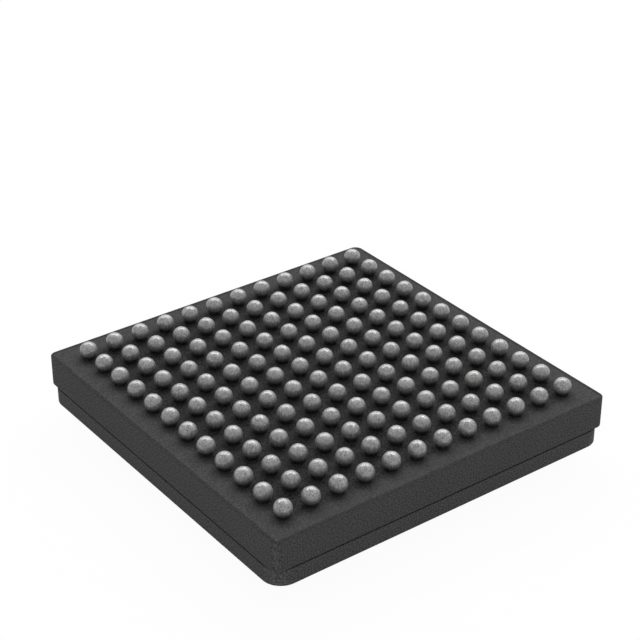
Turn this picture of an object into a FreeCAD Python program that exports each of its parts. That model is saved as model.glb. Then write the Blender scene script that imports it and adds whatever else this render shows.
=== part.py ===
"""Ball grid array chip, lying on its moulded face with its solder balls up.

Millimetres, +Z up. The origin is the centre of the flat pedestal face that the chip rests on.
Rows of balls run along X and are lettered from A at the -Y side, as on the real package;
ball 1 of each row is at the -X side, over the round corner mark in the mould cap.
"""

import FreeCAD, Part
import math
import os

# Ball grid
balls_per_row = 12
row_letters = "abcdefghjklm"
ball_pitch = 1.0
ball_diameter = 0.60
ball_edge_distance = 1.0
land_diameter = 0.38
land_thickness = 0.04

# A ball is a stack of flat-sided bands, so that the whole grid stays light
round_sides = 8
ball_bands = 3

# Board
board_thickness = 1.07
board_corner_radius = 0.20

# Mould cap
rim_thickness = 0.60
rim_corner_radius = 0.65
seam_depth = 0.04
seam_height = 0.03
pedestal_height = 0.75
pedestal_face_width = 7.06
pedestal_face_radius = 0.50
pedestal_base_width = 8.64
pedestal_base_radius = 0.80
corner_mark_diameter = 1.0
corner_mark_depth = 0.05
corner_mark_edge_distance = 1.0

# Die and the copper that carries it
die_width = 5.60
die_thickness = 0.30
die_attach_thickness = 0.03
die_attach_margin = 0.10
paddle_margin = 0.35
copper_thickness = 0.02

# Bond wires, each from the die's face to a copper finger on the board
wires_per_side = 6
wire_width = 0.05
wire_loop_height = 0.18
wire_pad_pitch = 0.80
wire_pad_inset = 0.15
wire_reach = 1.40
finger_pitch = 1.00
finger_length = 0.40
finger_width = 0.15

# Levels, from the pedestal face up
shoulder_level = pedestal_height
board_level = shoulder_level + rim_thickness
ball_face_level = board_level + board_thickness
land_level = ball_face_level + land_thickness
copper_level = board_level - copper_thickness
die_back_level = copper_level - die_attach_thickness
die_face_level = die_back_level - die_thickness
loop_level = die_face_level - wire_loop_height

# Widths that follow from others
body_width = (balls_per_row - 1) * ball_pitch + 2 * ball_edge_distance
die_attach_width = die_width + 2 * die_attach_margin
paddle_width = die_attach_width + 2 * paddle_margin

up = FreeCAD.Vector(0, 0, 1)
centre = FreeCAD.Vector(0, 0, 0)

# The turn about Z that takes the +X side to each side of the body
side_turns = {"right": 0, "back": 90, "left": 180, "front": 270}


def rounded_square(width, radius, level):
    """Closed outline of a square with round corners, at one level."""
    half = width / 2
    inner = half - radius
    edges = []
    for turn in side_turns.values():
        arc = Part.makeCircle(radius, FreeCAD.Vector(inner, inner, level), up, 0, 90)
        side = Part.makeLine((inner, half, level), (-inner, half, level))
        for edge in (arc, side):
            edge.rotate(centre, up, turn)
            edges.append(edge)
    return Part.Wire(edges)


def plate(width, radius, low, high):
    """Flat square plate with round corners, between two levels."""
    outline = Part.Face(rounded_square(width, radius, low))
    return outline.extrude(up * (high - low))


def square_frustum(low_outline, high_outline):
    """Solid with flat sloping sides and ruled corners between two rounded squares."""
    faces = [Part.Face(low_outline), Part.Face(high_outline)]
    for low, high in zip(low_outline.OrderedEdges, high_outline.OrderedEdges):
        if low.Curve.TypeId == "Part::GeomLine":
            corners = [v.Point for v in low.Vertexes] + [v.Point for v in reversed(high.Vertexes)]
            faces.append(Part.Face(Part.makePolygon(corners + corners[:1])))
        else:
            faces.append(Part.makeRuledSurface(low, high))
    return Part.makeSolid(Part.makeShell(faces))


def ring(radius, level):
    """Corners of a many-sided ring with the same area as a circle of this radius."""
    step = 2 * math.pi / round_sides
    corner_radius = radius * math.sqrt(step / math.sin(step))
    angles = [step * (number + 0.5) for number in range(round_sides)]
    return [FreeCAD.Vector(corner_radius * math.cos(a), corner_radius * math.sin(a), level) for a in angles]


def banded_solid(rings, tip=None):
    """Solid through rings of corners, lowest first, closed by a tip or by a flat top."""
    outlines = [rings[0]]
    for lower, upper in zip(rings, rings[1:]):
        for k in range(-1, round_sides - 1):
            outlines.append([lower[k], lower[k + 1], upper[k + 1], upper[k]])
    top = rings[-1]
    if tip is None:
        outlines.append(top)
    else:
        outlines += [[top[k], top[k + 1], tip] for k in range(-1, round_sides - 1)]
    faces = [Part.Face(Part.makePolygon(outline + outline[:1])) for outline in outlines]
    return Part.makeSolid(Part.makeShell(faces))


def solder_ball():
    """One ball on the Z axis: a sphere cut flat where it wets its land."""
    radius = ball_diameter / 2
    foot = math.acos(land_diameter / ball_diameter)
    sphere_level = land_level + radius * math.sin(foot)
    step = (foot + math.pi / 2) / (ball_bands + 1)
    rings = []
    for band in range(ball_bands + 1):
        latitude = band * step - foot
        rings.append(ring(radius * math.cos(latitude), sphere_level + radius * math.sin(latitude)))
    return banded_solid(rings, FreeCAD.Vector(0, 0, sphere_level + radius))


def ball_land():
    """One round copper land on the Z axis, under a ball."""
    radius = land_diameter / 2
    return banded_solid([ring(radius, ball_face_level), ring(radius, land_level)])


def grid_offset(number):
    """Distance of a row or column from the middle of the grid, counted from 0."""
    return (number - (balls_per_row - 1) / 2) * ball_pitch


def row_of(piece, row):
    """Copies of a piece at each ball position of one row."""
    places = [(grid_offset(column), grid_offset(row), 0) for column in range(balls_per_row)]
    return [piece.translated(FreeCAD.Vector(*place)) for place in places]


def board():
    """Laminate board with its printed masks and inner copper, as one bonded piece."""
    return plate(body_width, board_corner_radius, board_level, ball_face_level)


def centred_block(width, low, high):
    """Square block on the Z axis, between two levels."""
    return Part.makeBox(width, width, high - low, FreeCAD.Vector(-width / 2, -width / 2, low))


def die_paddle():
    """Square of copper on the board that the die is glued to."""
    return centred_block(paddle_width, copper_level, board_level)


def die_attach():
    """Layer of adhesive between the die and its paddle."""
    return centred_block(die_attach_width, die_back_level, copper_level)


def die():
    """Silicon die, its circuit side away from the board."""
    return centred_block(die_width, die_face_level, die_back_level)


def wire_lines():
    """Start, length and direction of each wire on the +X side, as (x, y, run, angle)."""
    lines = []
    for number in range(wires_per_side):
        across = number - (wires_per_side - 1) / 2
        spread = across * (finger_pitch - wire_pad_pitch)
        run = math.hypot(wire_reach, spread)
        angle = math.degrees(math.atan2(spread, wire_reach))
        lines.append((die_width / 2 - wire_pad_inset, across * wire_pad_pitch, run, angle))
    return lines


def bond_wire(run):
    """One wire along +X: down from the die's face, then a long slope to the board's finger."""
    slope = (copper_level - loop_level) / run
    slope_height = wire_width * math.hypot(1, slope)
    outline = [
        (0, die_face_level),
        (0, loop_level),
        (run, copper_level),
        (run - slope_height / slope, copper_level),
        (wire_width, loop_level + slope * wire_width + slope_height),
        (wire_width, die_face_level),
    ]
    corners = [FreeCAD.Vector(along, -wire_width / 2, level) for along, level in outline]
    profile = Part.Face(Part.makePolygon(corners + corners[:1]))
    return profile.extrude(FreeCAD.Vector(0, wire_width, 0))


def bond_finger(run):
    """Copper finger under the far end of a wire."""
    foot = wire_width * math.hypot(run / (copper_level - loop_level), 1)
    start = run - foot / 2 - finger_length / 2
    corner = FreeCAD.Vector(start, -finger_width / 2, copper_level)
    return Part.makeBox(finger_length, finger_width, copper_thickness, corner)


def on_one_side(make_piece, turn):
    """A wire's piece at each wire of one side of the die."""
    pieces = []
    for x, y, run, angle in wire_lines():
        piece = make_piece(run)
        piece.rotate(centre, up, angle)
        piece.translate(FreeCAD.Vector(x, y, 0))
        piece.rotate(centre, up, turn)
        pieces.append(piece)
    return pieces


def pedestal():
    """Raised middle of the mould cap, which carries the chip when it lies on its face."""
    face_outline = rounded_square(pedestal_face_width, pedestal_face_radius, 0)
    base_outline = rounded_square(pedestal_base_width, pedestal_base_radius, shoulder_level)
    return square_frustum(face_outline, base_outline)


def rim():
    """Square slab of the mould cap, with a fine groove along its seam with the board."""
    groove_level = board_level - seam_height
    slab = plate(body_width, rim_corner_radius, shoulder_level, groove_level)
    neck = plate(body_width - 2 * seam_depth, rim_corner_radius, groove_level, board_level)
    return slab.fuse(neck)


def corner_mark():
    """Shallow round recess in the cap's shoulder, over ball 1 of row A."""
    place = corner_mark_edge_distance - body_width / 2
    return Part.makeCylinder(
        corner_mark_diameter / 2, corner_mark_depth, FreeCAD.Vector(place, place, shoulder_level)
    )


def mould_cap(enclosed):
    """Moulding compound round everything on the board's inner face."""
    outside = rim().fuse(pedestal()).removeSplitter()
    return outside.cut([corner_mark()] + enclosed)


def nodes():
    """Each node's name and its solids."""
    wires = {side: on_one_side(bond_wire, turn) for side, turn in side_turns.items()}
    fingers = []
    for turn in side_turns.values():
        fingers += on_one_side(bond_finger, turn)
    chip = [die(), die_attach(), die_paddle()]
    found = {"board": [board()], "die": [chip[0]], "die_attach": [chip[1]], "die_paddle": [chip[2]]}
    found["bond_fingers"] = fingers
    enclosed = chip + fingers
    for side, pieces in wires.items():
        found["bond_wires_" + side] = pieces
        enclosed = enclosed + pieces
    found["mould_cap"] = mould_cap(enclosed).Solids
    lands = []
    for row, letter in enumerate(row_letters):
        lands += row_of(ball_land(), row)
        found["solder_balls_row_" + letter] = row_of(solder_ball(), row)
    found["ball_lands"] = lands
    return found


os.makedirs("parts", exist_ok=True)
for name, solids in nodes().items():
    Part.makeCompound(solids).exportStep("parts/" + name + ".step")
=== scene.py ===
"""Looks of the ball grid array chip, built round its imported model.

Metres, +Z up. The chip lies on its moulded face, so its solder balls point up.
"""

import bpy
import math
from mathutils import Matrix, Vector, noise


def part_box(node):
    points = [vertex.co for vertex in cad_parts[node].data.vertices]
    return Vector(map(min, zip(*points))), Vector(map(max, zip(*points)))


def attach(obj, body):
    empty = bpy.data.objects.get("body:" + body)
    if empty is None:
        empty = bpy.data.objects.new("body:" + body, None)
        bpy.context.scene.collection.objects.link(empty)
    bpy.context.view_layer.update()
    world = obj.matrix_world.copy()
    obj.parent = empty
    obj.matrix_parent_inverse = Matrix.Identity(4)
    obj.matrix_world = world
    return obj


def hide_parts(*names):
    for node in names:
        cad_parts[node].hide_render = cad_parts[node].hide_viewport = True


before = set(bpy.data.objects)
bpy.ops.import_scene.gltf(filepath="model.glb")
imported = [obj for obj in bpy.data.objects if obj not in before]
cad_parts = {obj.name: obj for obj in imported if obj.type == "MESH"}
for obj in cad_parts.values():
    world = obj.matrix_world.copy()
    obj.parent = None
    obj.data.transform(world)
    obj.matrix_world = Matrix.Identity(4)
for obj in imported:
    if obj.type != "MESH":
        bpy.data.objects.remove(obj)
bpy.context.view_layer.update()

mm = 0.001

# Ball grid
balls_per_row = 12
row_letters = "abcdefghjklm"
ball_pitch = 1.0 * mm
ball_radius = 0.30 * mm
land_radius = 0.19 * mm
collar_radius = 0.20 * mm
ball_sides = 40
ball_bands = 16
dent_height = 0.010 * mm
dent_length = 0.13 * mm

# Square bodies; an inset is how far inside its edge a flat face's first ring lies
corner_steps = 10
edge_steps = 4
flat_face_weight = 100
board_inset = 0.15 * mm
cap_inset = 0.3 * mm

# Board; an ease is the reach of a small rounded edge before and after its corner
board_corner_radius = 0.28 * mm
board_face_ease = (0.015 * mm, 0.03 * mm)
board_seam_ease = (0.04 * mm, 0.04 * mm)

# Mould cap
rim_corner_radius = 0.65 * mm
rim_edge_ease = (0.015 * mm, 0.015 * mm)
rim_seam_ease = (0.03 * mm, 0.03 * mm)
seam_depth = 0.04 * mm
seam_height = 0.03 * mm
shoulder_level = 0.75 * mm
pedestal_face_half = 3.53 * mm
pedestal_face_radius = 0.50 * mm
pedestal_base_half = 4.32 * mm
pedestal_base_radius = 0.80 * mm
pedestal_face_ease = (0.04 * mm, 0.04 * mm)
corner_mark_radius = 0.50 * mm
corner_mark_depth = 0.05 * mm
corner_mark_edge_distance = 1.0 * mm
corner_mark_sides = 96

# Nodes that the cap encloses
wire_nodes = ["bond_wires_" + side for side in ("right", "back", "left", "front")]
enclosed_nodes = ["die", "die_attach", "die_paddle", "bond_fingers"] + wire_nodes

# Camera, with angles in degrees
camera_azimuth = 53.245
camera_elevation = 29.991
camera_distance = 60.952 * mm
camera_aim = Vector((-2.841, 2.058, 2.469)) * mm
camera_lens = 99.99
camera_sensor = 36.0
camera_near = 1 * mm
camera_far = 10.0

# Finish of every material; a grain is its size and the number of finer layers in it
noise_span = (0.3, 0.7)
full_span = (0.0, 1.0)
# Samples of the occlusion that the painted shade is taken from
painted_shade_samples = 16

# Filled resins; a speckle is a tone, and how far its grain swings round it as a share
resin_grain = (0.05 * mm, 2.0)
resin_roughness = (0.82, 0.68)
resin_specular = 0.05
cloud_grain = (1.6 * mm, 3.0)
cloud_shades = (0.95, 1.0)

# Board finish. On an upright rounded corner the normal's X times Y rises to 0.5 in the middle;
# a corner's painted highlight is given as the value of that where it starts, and how far the tone
# rises
mid_corner = 0.5
side_speckle = (0.067, 0.55)
# Among the balls, the field's darker tone is painted shade between them; its grain is the mask's own
field_speckle_painted_shade = (0.027, 0.80)
margin_speckle = (0.054, 0.33)
# Where the painted shade among the balls fades out into the margin
field_edge = (5.55 * mm, 5.90 * mm)
border_edge = (6.35 * mm, 6.39 * mm)
border_shade = 0.62
board_relief = 0.0012 * mm
# Painted highlight on the board's upright corners
board_corner_painted_highlight = (0.36, 1.20)
upward_span = (0.5, 0.8)

# Cap finish; a crevice is the reach and the power of its painted shade, a darkening where other
# surfaces stand close
cap_speckle = (0.072, 0.60)
cap_relief = 0.003 * mm
# Painted highlight on the cap's upright corners
cap_corner_painted_highlight = (0.0, 1.32)
cap_painted_shade = (0.90 * mm, 1.0)

# Adhesive finish
adhesive_grain = (0.03 * mm, 2.0)
adhesive_specular = 0.5
adhesive_speckle = (0.45, 0.40)
adhesive_relief = 0.004 * mm

# Solder finish
solder_metallic = 0.30
solder_roughness = (0.33, 0.27)
mottle_grain = (0.08 * mm, 3.0)
mottle_shades = (0.42, 0.60)
mottle_relief = 0.0009 * mm
speck_grain = (0.035 * mm, 2.0)
speck_shades = (0.36, 1.0)
streak_grain = (0.05 * mm, 2.0)
streak_stretch = (1, 1, 0.2)
streak_shades = (0.68, 1.0)
streak_relief = 0.0006 * mm
tint_grain = (0.35 * mm, 1.0)
tint_colours = ((1.0, 0.99, 0.975), (0.97, 0.975, 1.0))
tint_span = (0.4, 0.6)
# Reach and power of the painted shade where the board and other balls stand close
ball_painted_shade = (0.35 * mm, 1.5)

# Other metals, each as its dark and light colour, roughness, grain and relief
roughness_spread = (0.8, 1.2)
copper_finish = ((0.60, 0.28, 0.16), (0.78, 0.42, 0.27), 0.35, (0.06 * mm, 3.0), 0.002 * mm)
gold_finish = ((0.78, 0.52, 0.18), (0.92, 0.68, 0.30), 0.25, (0.04 * mm, 3.0), 0.001 * mm)
plated_finish = ((0.76, 0.54, 0.24), (0.88, 0.68, 0.34), 0.35, (0.05 * mm, 3.0), 0.002 * mm)
silicon_finish = ((0.20, 0.22, 0.27), (0.28, 0.30, 0.36), 0.20, (0.30 * mm, 3.0), 0.001 * mm)

# Floor; its shadow fades out between the two distances
floor_half = 600 * mm
floor_colour = 0.80
shadow_share = 0.04
shadow_fade = (20 * mm, 60 * mm)

# Light; each lamp is its azimuth from the camera's, its elevation and its level
world_strength = 0.51
lamp_distance = 300 * mm
lamp_size = 200 * mm
lamps = {
    "back_left_lamp": (205, 45, 0.45),
    "back_right_lamp": (155, 45, 0.54),
    "right_lamp": (100, 55, 0.07),
}


def direction(azimuth, elevation):
    """Unit vector towards a place given in degrees; azimuth 0 is the -Y side and 90 the +X side."""
    a = math.radians(azimuth)
    e = math.radians(elevation)
    return Vector((math.sin(a) * math.cos(e), -math.cos(a) * math.cos(e), math.sin(e)))


def add_aimed(name, data, place, back):
    """Puts a camera or lamp at a place, looking away from this direction; returns it."""
    thing = bpy.data.objects.new(name, data)
    thing.location = place
    thing.rotation_mode = "QUATERNION"
    thing.rotation_quaternion = (-back).to_track_quat("-Z", "Y")
    bpy.context.scene.collection.objects.link(thing)
    return thing


def add_camera():
    """The photograph's camera."""
    data = bpy.data.cameras.new("camera")
    data.lens = camera_lens
    data.sensor_width = camera_sensor
    data.clip_start = camera_near
    data.clip_end = camera_far
    back = direction(camera_azimuth, camera_elevation)
    place = camera_aim + back * camera_distance
    bpy.context.scene.camera = add_aimed("camera", data, place, back)


def new_piece(name, points, faces, material):
    """A smooth mesh piece with one material."""
    mesh = bpy.data.meshes.new(name)
    mesh.from_pydata(points, [], faces)
    mesh.polygons.foreach_set("use_smooth", [True] * len(mesh.polygons))
    mesh.materials.append(material)
    mesh.validate()
    mesh.update()
    piece = bpy.data.objects.new(name, mesh)
    bpy.context.scene.collection.objects.link(piece)
    return piece


def stack_rings(points, faces, rings, tip=None):
    """Adds a closed skin through rings of points, lowest first, closed by a tip or by a flat top."""
    start = len(points)
    count = len(rings[0])
    for ring in rings:
        points.extend(ring)
    faces.append([start + k for k in reversed(range(count))])
    for level in range(len(rings) - 1):
        low = start + level * count
        high = low + count
        for k in range(count):
            following = (k + 1) % count
            faces.append([low + k, low + following, high + following, high + k])
    last = start + (len(rings) - 1) * count
    if tip is None:
        faces.append([last + k for k in range(count)])
    else:
        points.append(tip)
        faces.extend([last + k, last + (k + 1) % count, len(points) - 1] for k in range(count))


def circle_point(x, y, radius, angle, level):
    """Point at this angle on a level circle round x and y."""
    return Vector((x + radius * math.cos(angle), y + radius * math.sin(angle), level))


def round_ring(centre, radius, level, sides):
    """Points on a level circle."""
    angles = [2 * math.pi * number / sides for number in range(sides)]
    return [circle_point(centre.x, centre.y, radius, angle, level) for angle in angles]


def square_ring(half, radius, level):
    """Points on a level square with round corners."""
    inner = half - radius
    ring = []
    for quarter in range(4):
        middle = math.pi / 2 * (quarter + 0.5)
        x = math.copysign(inner, math.cos(middle))
        y = math.copysign(inner, math.sin(middle))
        for step in range(corner_steps + 1):
            angle = math.pi / 2 * (quarter + step / corner_steps)
            ring.append(circle_point(x, y, radius, angle, level))
    return ring


def eased(before, corner, after, reach):
    """Points of a small rounded edge in place of a sharp one, with its reach on both sides of it."""
    start = corner + (before - corner).normalized() * reach[0]
    end = corner + (after - corner).normalized() * reach[1]
    points = []
    for step in range(edge_steps + 1):
        t = step / edge_steps
        points.append(start.lerp(corner, t).lerp(corner.lerp(end, t), t))
    return points


def square_skin(outline, eases):
    """Mesh lists of a square body, from its half outline as (half width, corner radius, level)."""
    corners = [Vector(corner) for corner in outline]
    path = [corners[0]]
    for before, corner, after, reach in zip(corners, corners[1:], corners[2:], eases):
        path += eased(before, corner, after, reach) if reach else [corner]
    path.append(corners[-1])
    points = []
    faces = []
    stack_rings(points, faces, [square_ring(*place) for place in path])
    return points, faces


def settle_normals(piece):
    """Keeps the flat faces flat in shading beside their rounded edges."""
    modifier = piece.modifiers.new("flat_faces", "WEIGHTED_NORMAL")
    modifier.weight = flat_face_weight
    modifier.keep_sharp = True


def cut(piece, tool):
    """Takes another piece's shape out of this one."""
    modifier = piece.modifiers.new("cut", "BOOLEAN")
    modifier.operation = "DIFFERENCE"
    modifier.solver = "EXACT"
    modifier.object = tool
    graph = bpy.context.evaluated_depsgraph_get()
    mesh = bpy.data.meshes.new_from_object(piece.evaluated_get(graph))
    piece.modifiers.remove(modifier)
    piece.data = mesh


def node_material(name, metallic=0.0, specular=0.5):
    """A material with a principled shader; returns it with its node tree and the shader."""
    material = bpy.data.materials.new(name)
    material.use_nodes = True
    tree = material.node_tree
    shader = tree.nodes["Principled BSDF"]
    shader.inputs["Metallic"].default_value = metallic
    shader.inputs["Specular IOR Level"].default_value = specular
    return material, tree, shader


def grain(tree, size, detail, stretch=(1, 1, 1)):
    """Noise in the object's own space, with grains of this size."""
    place = tree.nodes.new("ShaderNodeTexCoord")
    mapping = tree.nodes.new("ShaderNodeMapping")
    mapping.inputs["Scale"].default_value = stretch
    texture = tree.nodes.new("ShaderNodeTexNoise")
    texture.inputs["Scale"].default_value = 1 / size
    texture.inputs["Detail"].default_value = detail
    tree.links.new(place.outputs["Object"], mapping.inputs["Vector"])
    tree.links.new(mapping.outputs["Vector"], texture.inputs["Vector"])
    return texture.outputs["Fac"]


def worked(tree, operation, first, second=None):
    """Result of a calculation on one value or two."""
    node = tree.nodes.new("ShaderNodeMath")
    node.operation = operation
    tree.links.new(first, node.inputs[0])
    if second is not None:
        tree.links.new(second, node.inputs[1])
    return node.outputs["Value"]


def split(tree, vector):
    """The X, Y and Z outputs of a vector."""
    parts = tree.nodes.new("ShaderNodeSeparateXYZ")
    tree.links.new(vector, parts.inputs["Vector"])
    return parts.outputs


def facing(tree):
    """The X, Y and Z outputs of the way that the surface faces."""
    geometry = tree.nodes.new("ShaderNodeNewGeometry")
    return split(tree, geometry.outputs["Normal"])


def between(tree, value, ends, span=noise_span):
    """A value that runs between two ends while the given one crosses the span."""
    spread = tree.nodes.new("ShaderNodeMapRange")
    spread.inputs["From Min"].default_value = span[0]
    spread.inputs["From Max"].default_value = span[1]
    spread.inputs["To Min"].default_value = ends[0]
    spread.inputs["To Max"].default_value = ends[1]
    tree.links.new(value, spread.inputs["Value"])
    return spread.outputs["Result"]


def tones(tree, value, colours, span=noise_span):
    """A colour that runs from dark to light while the value crosses the span."""
    ramp = tree.nodes.new("ShaderNodeValToRGB")
    for element, colour, position in zip(ramp.color_ramp.elements, colours, span):
        element.position = position
        element.color = (*colour, 1)
    tree.links.new(value, ramp.inputs["Fac"])
    return ramp.outputs["Color"]


def grey(value):
    """A neutral colour."""
    return (value, value, value)


def shades(tree, value, ends):
    """A grain as a grey between two shades."""
    return tones(tree, value, [grey(end) for end in ends])


def mixed(tree, first, second, share=None, blend="MIX"):
    """Two colours blended by a share, or in full."""
    mix = tree.nodes.new("ShaderNodeMix")
    mix.data_type = "RGBA"
    mix.blend_type = blend
    tree.links.new(first, mix.inputs["A"])
    tree.links.new(second, mix.inputs["B"])
    if share is None:
        mix.inputs["Factor"].default_value = 1.0
    else:
        tree.links.new(share, mix.inputs["Factor"])
    return mix.outputs["Result"]


def multiplied(tree, first, *others):
    """Several colours multiplied."""
    for other in others:
        first = mixed(tree, first, other, blend="MULTIPLY")
    return first


def painted_crevice_shade(tree, reach, power):
    """Painted shade: a darkening of the colour where other surfaces stand close."""
    nearby = tree.nodes.new("ShaderNodeAmbientOcclusion")
    nearby.samples = painted_shade_samples
    nearby.inputs["Distance"].default_value = reach
    sharpened = tree.nodes.new("ShaderNodeMath")
    sharpened.operation = "POWER"
    sharpened.inputs[1].default_value = power
    tree.links.new(nearby.outputs["AO"], sharpened.inputs[0])
    return sharpened.outputs["Value"]


def painted_corner_highlight(tree, start, lift):
    """A painted highlight: a lighter tone where the upright corners are rounded."""
    sides = facing(tree)
    both = worked(tree, "MULTIPLY", sides["X"], sides["Y"])
    size = worked(tree, "ABSOLUTE", both)
    return between(tree, size, (1.0, lift), (start, mid_corner))


def outward(tree):
    """Distance out from the middle, the same all along a square round it."""
    place = tree.nodes.new("ShaderNodeTexCoord")
    size = tree.nodes.new("ShaderNodeVectorMath")
    size.operation = "ABSOLUTE"
    tree.links.new(place.outputs["Object"], size.inputs[0])
    sides = split(tree, size.outputs["Vector"])
    return worked(tree, "MAXIMUM", sides["X"], sides["Y"])


def upward(tree):
    """1 on faces that look up and 0 on upright ones."""
    return between(tree, facing(tree)["Z"], full_span, upward_span)


def bumps(tree, shader, layers):
    """Relief from several grains, each with its depth."""
    normal = None
    for height, depth in layers:
        bump = tree.nodes.new("ShaderNodeBump")
        bump.inputs["Strength"].default_value = 1.0
        bump.inputs["Distance"].default_value = depth
        tree.links.new(height, bump.inputs["Height"])
        if normal is not None:
            tree.links.new(normal, bump.inputs["Normal"])
        normal = bump.outputs["Normal"]
    tree.links.new(normal, shader.inputs["Normal"])


def resin_body(name, relief, specular=resin_specular, fine_grain=resin_grain):
    """A satin to matte filled resin, without its colour; returns its fine grain too."""
    material, tree, shader = node_material(name, specular=specular)
    fine = grain(tree, *fine_grain)
    tree.links.new(between(tree, fine, resin_roughness), shader.inputs["Roughness"])
    bumps(tree, shader, [(fine, relief)])
    return material, tree, shader.inputs["Base Color"], fine


def speckled(tree, fine, tone, swing):
    """A dark tone with a fine speckle and faint clouding."""
    cloud = shades(tree, grain(tree, *cloud_grain), cloud_shades)
    return multiplied(tree, shades(tree, fine, (tone * (1 - swing), tone * (1 + swing))), cloud)


def printed_board():
    """The laminate: saw-cut sides, and a face with a printed mask.

    The face is darker and grainier among the balls, the darker tone being painted shade between them,
    and darker in a strip at its border; the upright corners carry a painted highlight.
    """
    material, tree, colour, fine = resin_body("dark_mask", board_relief)
    distance = outward(tree)
    side = speckled(tree, fine, *side_speckle)
    # Painted shade among the balls, with the mask's grain
    painted_shade_field = speckled(tree, fine, *field_speckle_painted_shade)
    margin = speckled(tree, fine, *margin_speckle)
    face = mixed(tree, painted_shade_field, margin, between(tree, distance, full_span, field_edge))
    face = multiplied(tree, face, between(tree, distance, (1.0, border_shade), border_edge))
    both = mixed(tree, side, face, upward(tree))
    # The upright corners get a painted highlight
    tree.links.new(multiplied(tree, both, painted_corner_highlight(tree, *board_corner_painted_highlight)), colour)
    return material


def moulded_resin():
    """Moulding compound, with a painted highlight at its upright corners and painted shade where
    other surfaces stand close.
    """
    material, tree, colour, fine = resin_body("mould_resin", cap_relief)
    tone = speckled(tree, fine, *cap_speckle)
    # Painted highlight on the upright corners
    corners = painted_corner_highlight(tree, *cap_corner_painted_highlight)
    # Painted shade where other surfaces stand close
    tree.links.new(multiplied(tree, tone, corners, painted_crevice_shade(tree, *cap_painted_shade)), colour)
    return material


def silver_adhesive():
    """Silver-filled glue."""
    body = resin_body("silver_adhesive", adhesive_relief, adhesive_specular, adhesive_grain)
    material, tree, colour, fine = body
    tree.links.new(speckled(tree, fine, *adhesive_speckle), colour)
    return material


def solder():
    """Reflowed solder: satin grey metal, mottled, with faint upright streaks, and painted shade where
    the board and other balls stand close.
    """
    material, tree, shader = node_material("solder_metal", metallic=solder_metallic)
    mottle = grain(tree, *mottle_grain)
    speck = grain(tree, *speck_grain)
    streak = grain(tree, *streak_grain, streak_stretch)
    tint = grain(tree, *tint_grain)
    mottled = shades(tree, mottle, mottle_shades)
    specked = shades(tree, speck, speck_shades)
    streaked = shades(tree, streak, streak_shades)
    tinted = tones(tree, tint, tint_colours, tint_span)
    # The colour carries painted shade where other surfaces stand close
    colour = multiplied(tree, mottled, specked, streaked, tinted, painted_crevice_shade(tree, *ball_painted_shade))
    tree.links.new(colour, shader.inputs["Base Color"])
    tree.links.new(between(tree, mottle, solder_roughness), shader.inputs["Roughness"])
    bumps(tree, shader, [(mottle, mottle_relief), (streak, streak_relief)])
    return material


def plain_metal(name, dark, light, roughness, fine_grain, relief):
    """A metal, or the die's silicon, with a fine grain."""
    material, tree, shader = node_material(name, metallic=1.0)
    fine = grain(tree, *fine_grain)
    rough = [roughness * share for share in roughness_spread]
    tree.links.new(tones(tree, fine, (dark, light)), shader.inputs["Base Color"])
    tree.links.new(between(tree, fine, rough), shader.inputs["Roughness"])
    bumps(tree, shader, [(fine, relief)])
    return material


def dented(point, centre):
    """A point of a ball's skin, pressed in by up to the height of a dent."""
    depth = dent_height * 0.5 * (1 + noise.noise(point / dent_length))
    return point - (point - centre).normalized() * depth


def ball(points, faces, centre, foot_level, face_level):
    """One solder ball with slight dents, and the collar of solder that wets its land's edge."""
    foot = math.asin((foot_level - centre.z) / ball_radius)
    step = (math.pi / 2 - foot) / (ball_bands + 1)
    rings = [round_ring(centre, collar_radius, face_level, ball_sides)]
    for band in range(ball_bands + 1):
        latitude = foot + band * step
        level = centre.z + ball_radius * math.sin(latitude)
        ring = round_ring(centre, ball_radius * math.cos(latitude), level, ball_sides)
        rings.append([dented(point, centre) for point in ring] if band else ring)
    tip = dented(centre + Vector((0, 0, ball_radius)), centre)
    stack_rings(points, faces, rings, tip)


def grid_place(number):
    """Distance of a row or column from the middle of the grid, counted from 0."""
    return (number - (balls_per_row - 1) / 2) * ball_pitch


def add_balls(material):
    """One piece for each row of balls."""
    face_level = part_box("ball_lands")[0].z
    for row, letter in enumerate(row_letters):
        node = "solder_balls_row_" + letter
        low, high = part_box(node)
        points = []
        faces = []
        for column in range(balls_per_row):
            centre = Vector((grid_place(column), grid_place(row), high.z - ball_radius))
            ball(points, faces, centre, low.z, face_level)
        piece = new_piece("balls_row_" + letter, points, faces, material)
        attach(piece, "root")
        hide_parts(node)


def add_lands(material):
    """The round copper lands under the balls."""
    low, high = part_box("ball_lands")
    points = []
    faces = []
    for row in range(balls_per_row):
        for column in range(balls_per_row):
            centre = Vector((grid_place(column), grid_place(row), 0))
            rings = [round_ring(centre, land_radius, level, ball_sides) for level in (low.z, high.z)]
            stack_rings(points, faces, rings)
    piece = new_piece("round_lands", points, faces, material)
    settle_normals(piece)
    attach(piece, "root")
    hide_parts("ball_lands")


def add_board(material):
    """The laminate board with rounded edges."""
    low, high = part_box("board")
    outline = [
        (high.x - board_inset, board_corner_radius - board_inset, low.z),
        (high.x, board_corner_radius, low.z),
        (high.x, board_corner_radius, high.z),
        (high.x - board_inset, board_corner_radius - board_inset, high.z),
    ]
    points, faces = square_skin(outline, (board_seam_ease, board_face_ease))
    piece = new_piece("laminate_board", points, faces, material)
    settle_normals(piece)
    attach(piece, "root")
    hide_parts("board")


def corner_mark():
    """Mesh lists of a cutter for the round recess over ball 1 of row A."""
    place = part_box("mould_cap")[0].x + corner_mark_edge_distance
    centre = Vector((place, place, 0))
    points = []
    faces = []
    rings = []
    for level in (shoulder_level - corner_mark_depth, shoulder_level + corner_mark_depth):
        rings.append(round_ring(centre, corner_mark_radius, level, corner_mark_sides))
    stack_rings(points, faces, rings)
    return points, faces


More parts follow.
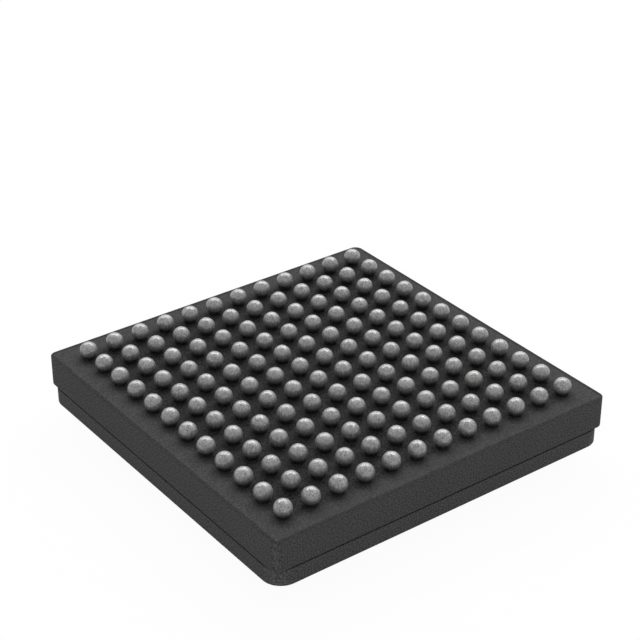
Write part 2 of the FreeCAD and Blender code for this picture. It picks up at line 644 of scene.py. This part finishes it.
def add_cap(material):
    """The mould cap: rim with its seam groove, shoulder, and pedestal with rounded edges."""
    low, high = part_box("mould_cap")
    groove_level = high.z - seam_height
    neck_half = high.x - seam_depth
    outline = [
        (pedestal_face_half - cap_inset, pedestal_face_radius - cap_inset, low.z),
        (pedestal_face_half, pedestal_face_radius, low.z),
        (pedestal_base_half, pedestal_base_radius, shoulder_level),
        (high.x, rim_corner_radius, shoulder_level),
        (high.x, rim_corner_radius, groove_level),
        (neck_half, rim_corner_radius, groove_level),
        (neck_half, rim_corner_radius, high.z),
        (neck_half - cap_inset, rim_corner_radius - cap_inset, high.z),
    ]
    eases = (pedestal_face_ease, None, rim_edge_ease, rim_seam_ease, None, None)
    points, faces = square_skin(outline, eases)
    piece = new_piece("moulded_cap", points, faces, material)
    cutter = new_piece("corner_mark", *corner_mark(), material)
    cut(piece, cutter)
    bpy.data.objects.remove(cutter)
    for node in enclosed_nodes:
        cut(piece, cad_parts[node])
    settle_normals(piece)
    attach(piece, "root")
    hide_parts("mould_cap")


def dress(nodes, material):
    """Gives carried-over nodes their material."""
    for node in nodes:
        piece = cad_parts[node]
        piece.data.materials.clear()
        piece.data.materials.append(material)


def seen(tree):
    """1 for rays that see the background: from the camera, a reflection or through glass."""
    path = tree.nodes.new("ShaderNodeLightPath")
    total = path.outputs["Is Camera Ray"]
    for kind in ("Is Glossy Ray", "Is Transmission Ray"):
        total = worked(tree, "MAXIMUM", total, path.outputs[kind])
    return total


def clear_share(tree):
    """How much of the floor is plain white: nearly all of it close by, and all of it further off."""
    place = tree.nodes.new("ShaderNodeTexCoord")
    length = tree.nodes.new("ShaderNodeVectorMath")
    length.operation = "LENGTH"
    tree.links.new(place.outputs["Object"], length.inputs[0])
    return between(tree, length.outputs["Value"], (1 - shadow_share, 1.0), shadow_fade)


def add_floor():
    """A pale floor that shows as white and keeps a soft shadow near the chip."""
    corners = [(-1, -1), (1, -1), (1, 1), (-1, 1)]
    points = [(x * floor_half, y * floor_half, 0) for x, y in corners]
    material = bpy.data.materials.new("pale_floor")
    material.use_nodes = True
    tree = material.node_tree
    tree.nodes.remove(tree.nodes["Principled BSDF"])
    output = tree.nodes["Material Output"]
    diffuse = tree.nodes.new("ShaderNodeBsdfDiffuse")
    diffuse.inputs["Color"].default_value = (*grey(floor_colour), 1)
    white = tree.nodes.new("ShaderNodeEmission")
    mix = tree.nodes.new("ShaderNodeMixShader")
    tree.links.new(worked(tree, "MULTIPLY", seen(tree), clear_share(tree)), mix.inputs["Fac"])
    tree.links.new(diffuse.outputs["BSDF"], mix.inputs[1])
    tree.links.new(white.outputs["Emission"], mix.inputs[2])
    tree.links.new(mix.outputs["Shader"], output.inputs["Surface"])
    new_piece("floor", points, [(0, 1, 2, 3)], material)


def add_world():
    """Soft light from all round, seen as white."""
    world = bpy.data.worlds.new("studio")
    world.use_nodes = True
    tree = world.node_tree
    background = tree.nodes["Background"]
    background.inputs["Color"].default_value = (*grey(1), 1)
    strength = between(tree, seen(tree), (world_strength, 1.0), full_span)
    tree.links.new(strength, background.inputs["Strength"])
    bpy.context.scene.world = world


def soft_lamp(name, azimuth, elevation, level):
    """A square soft lamp aimed at the chip; level is the light it gives a white face turned to it."""
    data = bpy.data.lights.new(name, "AREA")
    data.size = lamp_size
    data.energy = level * (math.pi * lamp_distance) ** 2
    back = direction(azimuth, elevation)
    add_aimed(name, data, back * lamp_distance, back)


bpy.context.scene.view_settings.view_transform = "Standard"
add_camera()
copper = plain_metal("bare_copper", *copper_finish)
add_board(printed_board())
add_cap(moulded_resin())
add_lands(copper)
add_balls(solder())
dress(["die"], plain_metal("silicon_grey", *silicon_finish))
dress(["die_attach"], silver_adhesive())
dress(["die_paddle"], copper)
dress(["bond_fingers"], plain_metal("plated_finger", *plated_finish))
dress(wire_nodes, plain_metal("gold_wire", *gold_finish))
add_floor()
add_world()
for name, (turn, elevation, level) in lamps.items():
    soft_lamp(name, camera_azimuth + turn, elevation, level)
